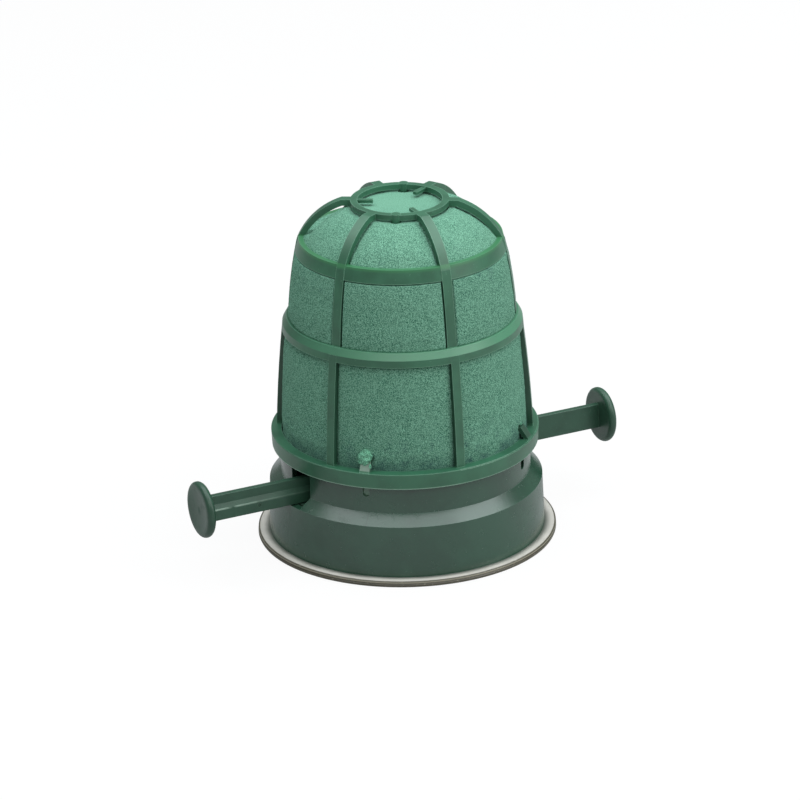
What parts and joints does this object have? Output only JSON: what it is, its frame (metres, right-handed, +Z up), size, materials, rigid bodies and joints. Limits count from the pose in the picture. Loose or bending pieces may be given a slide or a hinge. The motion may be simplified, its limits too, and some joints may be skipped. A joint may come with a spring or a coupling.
{
  "type": "suction-base floral foam holder",
  "caption": "Domed floral foam in a ribbed plastic cage on a round base with a suction cup; side push bars raise the middle of the cup so that it grips a table.",
  "frame": {"origin": "centre of the flat ring that the suction cup stands on", "axes": "+Z up through the top ring, +X along the slide bars, towards the end of the right bar"},
  "size_m": [0.1868, 0.12, 0.1403],
  "materials": {
    "foam": "rough open-cell green phenolic foam",
    "cage_plastic": "dark green moulded polypropylene, satin",
    "base_plastic": "dark green moulded polypropylene, satin",
    "bar_plastic": "dark green moulded plastic, satin",
    "guide_plastic": "dark green moulded plastic, satin",
    "cup_vinyl": "pale translucent soft vinyl",
    "screw_steel": "zinc-plated steel",
    "pin_steel": "plain steel rod"
  },
  "bodies": {
    "holder": {"foam_block": "foam", "cage": "cage_plastic", "base_housing": "base_plastic", "guide_frame": "guide_plastic", "guide_screws": "screw_steel", "suction_cup": "cup_vinyl"},
    "left_bar": {"slide_bar_left": "bar_plastic"},
    "right_bar": {"slide_bar_right": "bar_plastic"},
    "lift": {"lift_stud": "guide_plastic", "lift_pin": "pin_steel"}
  },
  "joints": [
    {"name": "left_bar_slide", "type": "slide", "parent": "holder", "child": "left_bar", "axis": [1, 0, 0], "range_m": [0, 0.034]},
    {"name": "right_bar_slide", "type": "slide", "parent": "holder", "child": "right_bar", "axis": [-1, 0, 0], "range_m": [0, 0.034]},
    {"name": "stem_lift", "type": "slide", "parent": "holder", "child": "lift", "axis": [0, 0, 1], "range_m": [0, 0.005], "deforming": ["suction_cup"]}
  ],
  "couplings": [
    {"joint": "right_bar_slide", "follows": "left_bar_slide", "ratio": 1},
    {"joint": "stem_lift", "follows": "left_bar_slide", "ratio": 0.14705}
  ]
}
